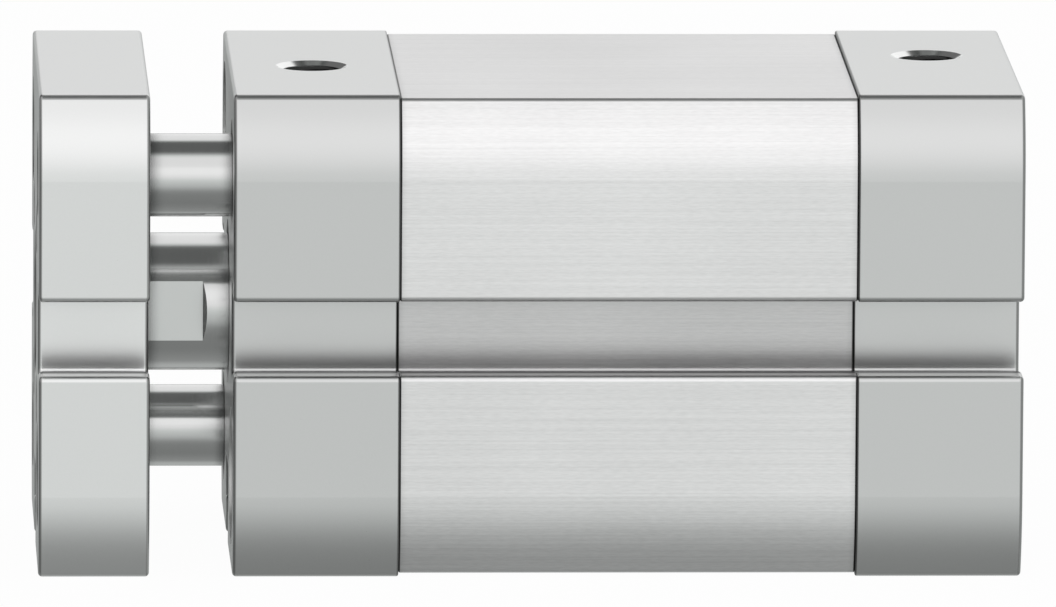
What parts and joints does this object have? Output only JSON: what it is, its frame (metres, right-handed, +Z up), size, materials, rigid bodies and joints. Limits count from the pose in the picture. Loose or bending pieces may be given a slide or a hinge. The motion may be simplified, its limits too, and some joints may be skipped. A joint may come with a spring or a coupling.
{
  "type": "compact pneumatic cylinder",
  "caption": "Guided compact pneumatic cylinder: square slotted body with end covers, piston rod, guide rods and a yoke plate that carries the load.",
  "frame": {"origin": "on the piston rod's axis, at the front cover's mounting face", "axes": "+X from the front cover to the rear cover, so the rod extends towards -X; +Z up, towards the air ports; +Y towards the far side of the picture"},
  "size_m": [0.071, 0.0352, 0.0352],
  "materials": {
    "anodised_cover": "satin anodised",
    "anodised_barrel": "fine drawn lines along the barrel, anodised",
    "rod_steel": "ground and polished stainless steel",
    "screw_steel": "zinc plated",
    "bush_liner": "dark dry-running liner",
    "seal_black": "smooth moulded",
    "magnet_ferrite": "plastic bonded ferrite",
    "wear_ring_tan": "filled bearing plastic",
    "cushion_rubber": "elastic ring"
  },
  "bodies": {
    "housing": {"barrel": "anodised_barrel", "front_cover": "anodised_cover", "rear_cover": "anodised_cover", "front_cover_screws": "screw_steel", "rear_cover_screws": "screw_steel", "rod_bush": "bush_liner", "upper_guide_bush": "bush_liner", "lower_guide_bush": "bush_liner", "rod_seal": "seal_black", "front_cover_seal": "seal_black", "rear_cover_seal": "seal_black"},
    "carriage": {"yoke_plate": "anodised_cover", "yoke_screw": "screw_steel", "guide_rod_screws": "screw_steel", "piston_rod": "rod_steel", "upper_guide_rod": "rod_steel", "lower_guide_rod": "rod_steel", "piston_front_half": "anodised_cover", "piston_rear_half": "anodised_cover", "piston_magnet": "magnet_ferrite", "piston_wear_ring": "wear_ring_tan", "front_piston_seal": "seal_black", "rear_piston_seal": "seal_black", "front_cushion": "cushion_rubber", "rear_cushion": "cushion_rubber", "piston_screw": "screw_steel"}
  },
  "joints": [
    {"name": "rod_slide", "type": "slide", "parent": "housing", "child": "carriage", "axis": [-1, 0, 0], "range_m": [0, 0.02]}
  ]
}
